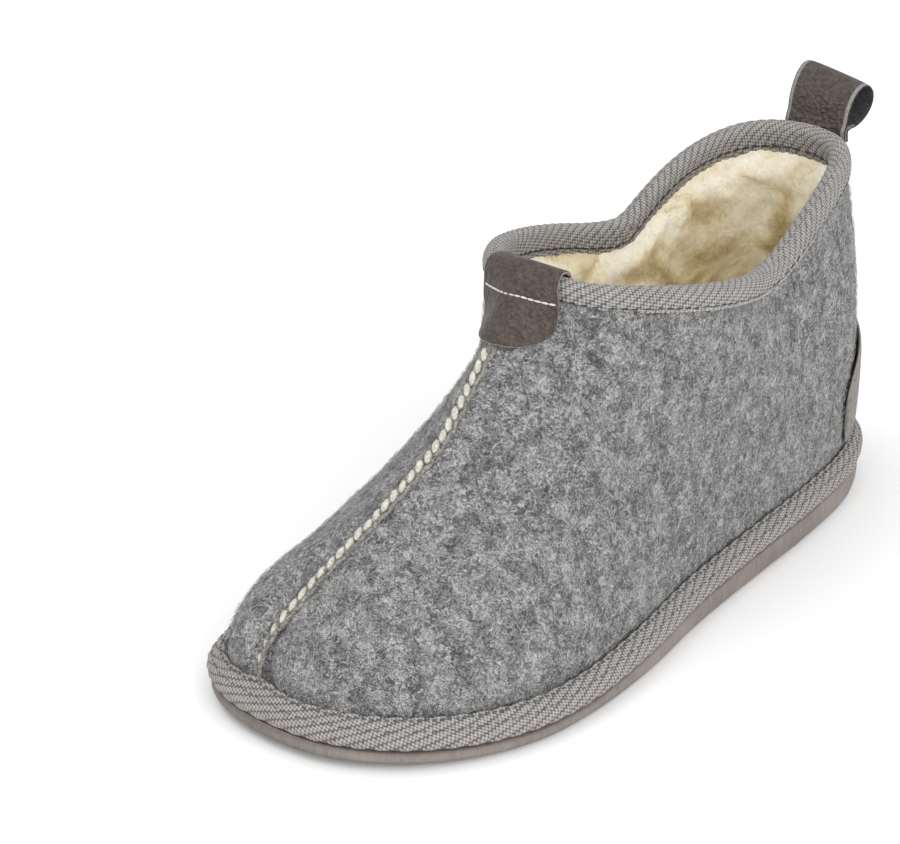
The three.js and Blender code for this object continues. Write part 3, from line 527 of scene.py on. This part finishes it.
collar_tape, collar_run = build_collar_tape()
sole_tape, sole_run = build_sole_tape()
collar_surface = surface_of(collar_tape)
sole_tape_surface = surface_of(sole_tape)


# Sole and insole


def build_sole():
    piece = copy_of("outsole", "rubber_sole")
    subdivide_smoothly(piece, 2)
    piece.data.materials.append(RUBBER)
    finish_piece(piece, "sole_rubber", "outsole")


def build_insole():
    piece = copy_of("insole", "fleece_insole")
    subdivide_smoothly(piece, 3)
    set_points(piece, soften(points_of(piece), normals_of(piece), SOCK_LUMPS))
    piece.data.materials.append(SOCK_FLEECE)
    finish_piece(piece, "wool_fleece", "insole")


build_sole()
build_insole()


# Lining: wool fleece inside the felt wall

LINING_START = 6.5 * MM
LINING_FULL = 16.0 * MM
LINING_DEPTH = 5.0 * MM
LINING_GAP = 0.2 * MM
LINING_TAME = 0.15

# The middle of the space that holds the foot, from the heel to the toes: x, y, z in mm.
CAVITY_ENDS = [(0, 98, 60), (0, 60, 62), (0, 0, 50), (-2, -40, 42), (-6, -70, 30), (-10, -98, 20)]
CAVITY_STEPS = 8
CAVITY_FACING = 0.12
CAVITY_LINE = [
    Vector(start).lerp(Vector(end), step / CAVITY_STEPS) * MM
    for start, end in zip(CAVITY_ENDS[:-1], CAVITY_ENDS[1:])
    for step in range(CAVITY_STEPS + 1)
]


def faces_the_cavity(face):
    """Whether a face of the wall looks towards the middle of the space that holds the foot."""
    spot = face.center
    middle = min(CAVITY_LINE, key=lambda point: (point - spot).length_squared)
    return (middle - spot).normalized().dot(face.normal) > CAVITY_FACING


def build_lining():
    piece = copy_of("upper", "fleece_lining")
    activate(piece)
    bpy.ops.object.mode_set(mode="EDIT")
    bpy.ops.mesh.select_mode(type="FACE")
    bpy.ops.mesh.select_all(action="DESELECT")
    bpy.ops.object.mode_set(mode="OBJECT")
    for face in piece.data.polygons:
        face.select = not faces_the_cavity(face)
    bpy.ops.object.mode_set(mode="EDIT")
    bpy.ops.mesh.delete(type="FACE")
    bpy.ops.object.mode_set(mode="OBJECT")
    subdivide_smoothly(piece, 3)
    points = points_of(piece)
    normals = normals_of(piece)
    turns = turn_about(points, COLLAR_CENTRE)
    tops = np.interp(turns, collar_run["angles"], collar_run["tops"], period=2 * math.pi)
    below = tops - points[:, 2]
    grown = np.clip((below - LINING_START) / (LINING_FULL - LINING_START), 0, 1)
    grown = grown * grown * (3 - 2 * grown)
    points = points + normals * (LINING_DEPTH * grown + LINING_GAP)[:, None]
    lumps = soften(points, normals, LINING_LUMPS)
    points = points + (lumps - points) * (LINING_TAME + (1 - LINING_TAME) * grown)[:, None]
    set_points(piece, points)
    piece.data.materials.append(FLEECE)
    finish_piece(piece, "wool_fleece")


build_lining()


# Leather patches and the pull loop


def spaced(line, pitch):
    """Points at equal steps along a line of points, with the direction there."""
    points = np.array([list(point) for point in line])
    steps = np.linalg.norm(np.diff(points, axis=0), axis=1)
    lengths = np.concatenate([[0.0], np.cumsum(steps)])
    count = max(2, int(lengths[-1] / pitch))
    wanted = np.linspace(0, lengths[-1], count + 1)
    spots = np.stack([np.interp(wanted, lengths, points[:, k]) for k in range(3)], axis=1)
    return [(Vector((spots[k] + spots[k + 1]) / 2), Vector(spots[k + 1] - spots[k]).normalized())
            for k in range(count)]


def mark_faces(piece, material, test):
    """Gives the faces that pass a test one more material."""
    piece.data.materials.append(material)
    number = len(piece.data.materials) - 1
    for face in piece.data.polygons:
        if test(face):
            face.material_index = number


def is_rim(face):
    spot, normal, _, _ = felt_surface.find_nearest(face.center)
    return abs(normal.dot(face.normal)) < RIM_FACING


def build_patch(node, name, leather):
    piece = copy_of(node, name)
    piece.data.materials.append(leather)
    mark_faces(piece, RAW_EDGE, is_rim)
    subdivide_smoothly(piece, 2)
    finish_piece(piece, "brown_leather", node)
    return piece


# The tab's stitch row as the photograph shows it, in mm, and the groove that it lies in
TAB_STITCHES = [
    (-14.0, -34.6, 107.8),
    (-10.4, -36.4, 108.3),
    (-6.8, -38.6, 109.1),
    (-3.7, -40.4, 109.8),
    (0.7, -41.5, 110.6),
    (3.9, -41.1, 110.6),
    (6.9, -40.4, 110.2),
    (9.6, -39.4, 109.9),
    (11.7, -38.3, 109.5),
    (13.5, -37.5, 109.3),
]
TAB_FACING = Vector((0.15, -0.80, 0.58)).normalized()
GROOVE_DEPTH = 0.7 * MM
GROOVE_WIDTH = 1.7 * MM
GROOVE_REACH = 4 * MM
GROOVE_STEP = 1.0 * MM


def sink_tab_stitches(piece):
    """Presses a soft groove into the tab along its stitch row."""
    points = points_of(piece)
    facing = np.array(TAB_FACING)
    stitches = [Vector(point) * MM for point in TAB_STITCHES]
    row = np.array([point for point, _ in spaced(stitches, GROOVE_STEP)])
    gaps = points[:, None, :] - row[None, :, :]
    gaps = gaps - (gaps @ facing)[:, :, None] * facing
    nearest = np.linalg.norm(gaps, axis=2).min(axis=1)
    front = points @ facing > (row @ facing).min() - GROOVE_REACH
    depth = GROOVE_DEPTH * np.exp(-(nearest / GROOVE_WIDTH) ** 2) * front
    set_points(piece, points - depth[:, None] * facing)


# The loop's opening, from the middle of the loop's box, and how far its inner face may be from it
LOOP_EYE_BACK = 1.5 * MM
LOOP_EYE_UP = 2.5 * MM
LOOP_EYE_REACH = 9 * MM
LOOP_INNER_FACING = 0.5
LOOP_EDGE_FACING = 0.7
LOOP_GRAIN_DEPTH = 0.85 * MM


def build_loop():
    piece = copy_of("pull_loop", "leather_loop")
    low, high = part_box("pull_loop")
    piece.data.materials.append(LEATHER)
    middle = Vector((0, (low.y + high.y) / 2 + LOOP_EYE_BACK, (low.z + high.z) / 2 + LOOP_EYE_UP))

    def is_inside(face):
        towards = middle - face.center
        towards.x = 0
        near = towards.length < LOOP_EYE_REACH
        return near and towards.normalized().dot(face.normal) > LOOP_INNER_FACING

    # The faces inside the loop's eye get the suede, painted near-black as shade.
    mark_faces(piece, SUEDE_PAINTED_DARK, is_inside)
    mark_faces(piece, RAW_EDGE, lambda face: abs(face.normal.x) > LOOP_EDGE_FACING)
    subdivide_smoothly(piece, 2)
    corners = [vertex.co.copy() for vertex in piece.data.vertices]
    grain_side = BVHTree.FromPolygons(
        corners, [tuple(face.vertices) for face in piece.data.polygons if face.material_index == 0])
    # Cut edges deep inside the loop, away from the grain side, take the same painted-dark suede.
    for face in piece.data.polygons:
        if face.material_index == 2 and grain_side.find_nearest(face.center)[3] > LOOP_GRAIN_DEPTH:
            face.material_index = 1
    finish_piece(piece, "brown_leather", "pull_loop")


throat_leather = build_patch("throat_tab", "leather_tab", LEATHER)
sink_tab_stitches(throat_leather)
build_patch("heel_counter", "leather_counter", PALE_LEATHER)
build_loop()
tab_surface = surface_of(throat_leather)


# Stitches

STITCH_SIDES = 8
STITCH_RINGS = 6


def stitch_row(name, material, slot, places, length, thickness):
    """One stitch is modelled and copied to each place: a point, a direction and the way out."""
    bpy.ops.object.select_all(action="DESELECT")
    bpy.ops.mesh.primitive_uv_sphere_add(
        segments=STITCH_SIDES, ring_count=STITCH_RINGS, radius=1.0, location=(0, 0, 0))
    pattern = bpy.context.object
    shaped = Matrix.Diagonal((length / 2, thickness / 2, thickness / 2, 1))
    pattern.data.transform(shaped)
    copies = []
    for spot, along, out in places:
        side = out.cross(along).normalized()
        out = along.cross(side).normalized()
        turn = Matrix((along.normalized(), side, out)).transposed().to_4x4()
        mesh = pattern.data.copy()
        mesh.transform(Matrix.Translation(spot) @ turn)
        stitch = bpy.data.objects.new(name, mesh)
        bpy.context.scene.collection.objects.link(stitch)
        copies.append(stitch)
    bpy.data.objects.remove(pattern)
    bpy.ops.object.select_all(action="DESELECT")
    for stitch in copies:
        stitch.select_set(True)
    bpy.context.view_layer.objects.active = copies[0]
    bpy.ops.object.join()
    row = bpy.context.object
    row.name = name
    bpy.ops.object.shade_smooth()
    row.data.materials.append(material)
    finish_piece(row, slot)


# Metres from a tape's middle that is surely outside it
RAY_REACH = 0.3

# Rows on the collar tape, by depth under its top edge. Columns: name, thread, depth in mm,
# whether the row is inside, pitch in mm, thickness in mm.
COLLAR_ROWS = [
    ("collar_edge_beads", SELVEDGE, 6.9, False, 1.7, 0.85),
    ("collar_stitches_outside", BLACK_THREAD, 5.9, False, 3.1, 0.42),
    ("collar_stitches_inside", BLACK_THREAD, 7.9, True, 3.4, 0.72),
]
COLLAR_STITCH_SHARE = 0.97

# Rows under the sole tape's upper edge. Columns: name, depth, pitch and thickness in mm.
SOLE_ROWS = [
    ("sole_stitches_upper", 0.6, 2.2, 0.85),
    ("sole_stitches_lower", 2.4, 2.6, 0.5),
]
SOLE_STITCH_SHARE = 0.62

TAB_STITCH_PITCH = 2.1 * MM
TAB_STITCH_LENGTH = 2.3 * MM
TAB_STITCH_THICKNESS = 0.7 * MM


def collar_line(depth, inside):
    """Points on the collar tape at a depth below its top, outside or inside."""
    line = []
    for angle in np.linspace(-math.pi, math.pi, RING_STEPS, endpoint=False):
        out = Vector((math.sin(angle), -math.cos(angle), 0))
        top = np.interp(angle, collar_run["angles"], collar_run["tops"], period=2 * math.pi)
        level = COLLAR_CENTRE + Vector((0, 0, top - depth))
        if inside:
            hit = collar_surface.ray_cast(level, out)
        else:
            hit = collar_surface.ray_cast(level + out * RAY_REACH, -out)
        if hit[0] is not None:
            line.append((hit[0], hit[1]))
    return line


def places_on(line, pitch):
    """Equal steps along a line of points and ways out: for each a point, the way along and the way out."""
    def nearest_out(spot):
        return min(line, key=lambda pair: (pair[0] - spot).length_squared)[1]

    return [(spot, along, nearest_out(spot)) for spot, along in spaced([point for point, _ in line], pitch)]


def build_collar_stitches():
    for name, thread, depth, inside, pitch, thickness in COLLAR_ROWS:
        places = places_on(collar_line(depth * MM, inside), pitch * MM)
        stitch_row(name, thread, "edge_tape", places, pitch * MM * COLLAR_STITCH_SHARE, thickness * MM)


def sole_line(depth):
    """Points on the sole tape's outer side at a depth below its upper edge."""
    line = []
    for angle in np.linspace(-math.pi, math.pi, 2 * RING_STEPS, endpoint=False):
        out = Vector((math.sin(angle), -math.cos(angle), 0))
        top = np.interp(angle, sole_run["angles"], sole_run["tops"], period=2 * math.pi)
        level = SOLE_CENTRE + Vector((0, 0, top - depth))
        hit = sole_tape_surface.ray_cast(level + out * RAY_REACH, -out)
        if hit[0] is not None:
            line.append((hit[0], hit[1]))
    return line


def build_sole_stitches():
    for name, depth, pitch, thickness in SOLE_ROWS:
        places = places_on(sole_line(depth * MM), pitch * MM)
        stitch_row(name, GREY_THREAD, "edge_tape", places, pitch * MM * SOLE_STITCH_SHARE, thickness * MM)


def build_tab_stitches():
    line = []
    for point in TAB_STITCHES:
        spot, normal, _, _ = tab_surface.find_nearest(Vector(point) * MM)
        line.append((spot, normal))
    places = places_on(line, TAB_STITCH_PITCH)
    stitch_row("tab_stitches", LIGHT_THREAD, "brown_leather", places, TAB_STITCH_LENGTH, TAB_STITCH_THICKNESS)


build_collar_stitches()
build_sole_stitches()
build_tab_stitches()


# Yarn along the middle seam

SEAM_STEP = 0.9 * MM
SEAM_RAY = 12 * MM
SEAM_BLEND = (-2, -1, 0, 1, 2)
YARN_PITCH = 3.6 * MM
YARN_SLANT = math.radians(24)
YARN_LENGTH = 4.5 * MM
YARN_THICKNESS = 2.15 * MM
YARN_ASIDE = -0.4

# How much one yarn stitch differs from the next: slant in radians, place aside and rise in mm
YARN_SLANT_PLAY = 0.12
YARN_ASIDE_PLAY = 0.15
YARN_RISE = (0.35, 0.65)
YARN_SEED = 5

# Strands beside the stitches. Columns: name, yarn, aside, radius, swing, lift and twist in mm.
YARN_STRANDS = [
    ("seam_yarn_core", DARK_YARN, -0.4, 0.8, 0.15, 0.0, 5.0),
    ("seam_yarn_mixed", DARK_YARN, 1.35, 0.72, 0.3, 0.05, 6.0),
]


def seam_frames(step):
    """Points down the middle seam, on the felt's outer face, with the way along, aside and out."""
    line = []
    for spot, _ in spaced([Vector(point) * MM for point in SEAM_LINE], step):
        middle = min(CAVITY_LINE, key=lambda point: (point - spot).length_squared)
        out = (spot - middle).normalized()
        hit = felt_surface.ray_cast(spot + out * SEAM_RAY, -out)
        if hit[0] is not None:
            line.append((hit[0], out))
    frames = []
    for k in range(2, len(line) - 2):
        near = [line[k + shift][0] for shift in SEAM_BLEND]
        place = sum(near, Vector()) / len(near)
        along = (near[-1] - near[0]).normalized()
        side = line[k][1].cross(along).normalized()
        frames.append((place, along, side, along.cross(side).normalized()))
    return frames


def yarn_strand(name, material, aside, radius, swing, lift, twist):
    """A strand that winds along the middle seam, as a tube."""
    curve = bpy.data.curves.new(name, "CURVE")
    curve.dimensions = "3D"
    curve.bevel_depth = radius
    curve.bevel_resolution = 2
    frames = seam_frames(SEAM_STEP)
    spline = curve.splines.new("POLY")
    spline.points.add(len(frames) - 1)
    run = 0.0
    for k, (spot, along, side, out) in enumerate(frames):
        if k:
            run += (spot - frames[k - 1][0]).length
        turn = 2 * math.pi * run / twist
        place = spot + side * (aside + swing * math.cos(turn)) + out * (lift + swing * 0.5 * math.sin(turn))
        spline.points[k].co = (*place, 1)
        spline.points[k].radius = 1.0 + 0.25 * math.sin(2 * turn)
    strand = bpy.data.objects.new(name, curve)
    bpy.context.scene.collection.objects.link(strand)
    activate(strand)
    bpy.ops.object.convert(target="MESH")
    strand = bpy.context.object
    bpy.ops.object.shade_smooth()
    strand.data.materials.clear()
    strand.data.materials.append(material)
    finish_piece(strand, "wool_fleece")


def build_yarn():
    """Slanting cream stitches over a core, with a mixed strand beside them."""
    draw = np.random.default_rng(YARN_SEED)
    frames = seam_frames(YARN_PITCH)
    places = []
    for spot, along, side, out in frames:
        slant = YARN_SLANT + draw.uniform(-YARN_SLANT_PLAY, YARN_SLANT_PLAY)
        way = along * math.cos(slant) + side * math.sin(slant)
        shift = side * (draw.uniform(-YARN_ASIDE_PLAY, YARN_ASIDE_PLAY) + YARN_ASIDE) * MM
        places.append((spot + out * draw.uniform(*YARN_RISE) * MM + shift, way, out))
    stitch_row("seam_yarn_stitches", YARN, "wool_fleece", places, YARN_LENGTH, YARN_THICKNESS)
    for name, yarn, *lengths in YARN_STRANDS:
        yarn_strand(name, yarn, *[length * MM for length in lengths])


build_yarn()


# Hairs: short curled fibres on the felt, as thin ribbons

HAIR_COUNT = 30000
HAIR_BENDS = 4
HAIR_WIDTH = (0.09 * MM, 0.17 * MM)
HAIR_LENGTH = (1.2 * MM, 3.6 * MM)
HAIR_LIFT = (0.10 * MM, 0.75 * MM)
HAIR_CURL = 1.5
HAIR_FACING = 0.25
HAIR_TAPER = 0.3
HAIR_ARCH = (0.12, 0.76)
HAIR_SEED = 23
SMALLEST_AREA = 1e-12


def felt_places(draw, count):
    """Random points on the felt's outer side, with the way out."""
    mesh = felt_upper.data
    mesh.calc_loop_triangles()
    corners = np.zeros(len(mesh.loop_triangles) * 3, dtype=np.int32)
    mesh.loop_triangles.foreach_get("vertices", corners)
    corners = points_of(felt_upper)[corners.reshape(-1, 3)]
    square = np.cross(corners[:, 1] - corners[:, 0], corners[:, 2] - corners[:, 0])
    area = np.linalg.norm(square, axis=1)
    out = square / np.maximum(area, SMALLEST_AREA)[:, None]
    centre = corners.mean(axis=1)
    middles = np.array(CAVITY_LINE)
    gaps = np.stack([np.linalg.norm(centre - middle, axis=1) for middle in middles], axis=1)
    away = unit(centre - middles[gaps.argmin(axis=1)])
    area = area * ((away * out).sum(axis=1) > HAIR_FACING)
    chosen = draw.choice(len(area), count, p=area / area.sum())
    first, second = np.sqrt(draw.random(count)), draw.random(count)
    shares = np.stack([1 - first, first * (1 - second), first * second], axis=1)
    return (corners[chosen] * shares[:, :, None]).sum(axis=1), out[chosen]


def build_hairs():
    """Each hair arches a little over the felt, curls to one side and gets thinner to its tip."""
    draw = np.random.default_rng(HAIR_SEED)
    spots, out = felt_places(draw, HAIR_COUNT)
    across = unit(np.cross(out, draw.normal(size=(HAIR_COUNT, 3))))
    along = np.cross(across, out)
    length = draw.uniform(*HAIR_LENGTH, HAIR_COUNT)
    lift = draw.uniform(*HAIR_LIFT, HAIR_COUNT)
    curl = draw.uniform(-HAIR_CURL, HAIR_CURL, HAIR_COUNT)
    roll = draw.uniform(-math.pi / 2, math.pi / 2, HAIR_COUNT)
    width = draw.uniform(*HAIR_WIDTH, HAIR_COUNT)
    points = np.zeros((HAIR_COUNT, HAIR_BENDS, 2, 3))
    for k in range(HAIR_BENDS):
        share = k / (HAIR_BENDS - 1)
        bend = curl * share
        run = length * share
        middle = (spots + along * (run * np.cos(bend))[:, None] + across * (run * np.sin(bend))[:, None]
                  + out * (lift * math.sin(math.pi * (HAIR_ARCH[0] + HAIR_ARCH[1] * share)))[:, None])
        side = across * np.cos(roll)[:, None] + out * np.sin(roll)[:, None]
        half = side * (width * (0.5 - HAIR_TAPER * share))[:, None]
        points[:, k, 0] = middle - half
        points[:, k, 1] = middle + half
    faces = []
    for hair in range(HAIR_COUNT):
        start = hair * HAIR_BENDS * 2
        faces.extend((start + 2 * k, start + 2 * k + 1, start + 2 * k + 3, start + 2 * k + 2)
                     for k in range(HAIR_BENDS - 1))
    mesh = bpy.data.meshes.new("felt_hairs")
    mesh.from_pydata(points.reshape(-1, 3).tolist(), [], faces)
    hairs = bpy.data.objects.new("felt_hairs", mesh)
    bpy.context.scene.collection.objects.link(hairs)
    mesh.materials.append(HAIR)
    finish_piece(hairs, "grey_felt")


build_hairs()


# Room: floor, light and camera


def build_room():
    bpy.ops.mesh.primitive_plane_add(size=FLOOR_SIDE, location=(0, 0, 0))
    floor = bpy.context.object
    floor.name = "floor"
    paint = bpy.data.materials.new("pale_floor")
    paint.use_nodes = True
    shader = paint.node_tree.nodes["Principled BSDF"]
    shader.inputs["Base Color"].default_value = (FLOOR_TONE, FLOOR_TONE, FLOOR_TONE, 1)
    shader.inputs["Roughness"].default_value = FLOOR_ROUGHNESS
    floor.data.materials.append(paint)

    world = bpy.data.worlds.new("soft_room")
    bpy.context.scene.world = world
    world.use_nodes = True
    background = world.node_tree.nodes["Background"]
    background.inputs["Color"].default_value = (1, 1, 1, 1)
    background.inputs["Strength"].default_value = ROOM_LIGHT

    for name, place, size, power in LAMPS:
        lamp = bpy.data.lights.new(name, "AREA")
        lamp.shape = "SQUARE"
        lamp.size = size
        lamp.energy = power
        light = bpy.data.objects.new(name, lamp)
        light.location = place
        light.rotation_euler = (LAMP_AIM - Vector(place)).to_track_quat("-Z", "Y").to_euler()
        bpy.context.scene.collection.objects.link(light)

    lens = bpy.data.cameras.new("camera")
    lens.lens = CAMERA_LENS
    lens.sensor_width = CAMERA_SENSOR
    lens.clip_start = CAMERA_NEAR
    camera = bpy.data.objects.new("camera", lens)
    camera.location = CAMERA_PLACE
    camera.rotation_euler = (CAMERA_AIM - CAMERA_PLACE).to_track_quat("-Z", "Y").to_euler()
    bpy.context.scene.collection.objects.link(camera)
    bpy.context.scene.camera = camera
    bpy.context.scene.view_settings.view_transform = "Standard"


build_room()
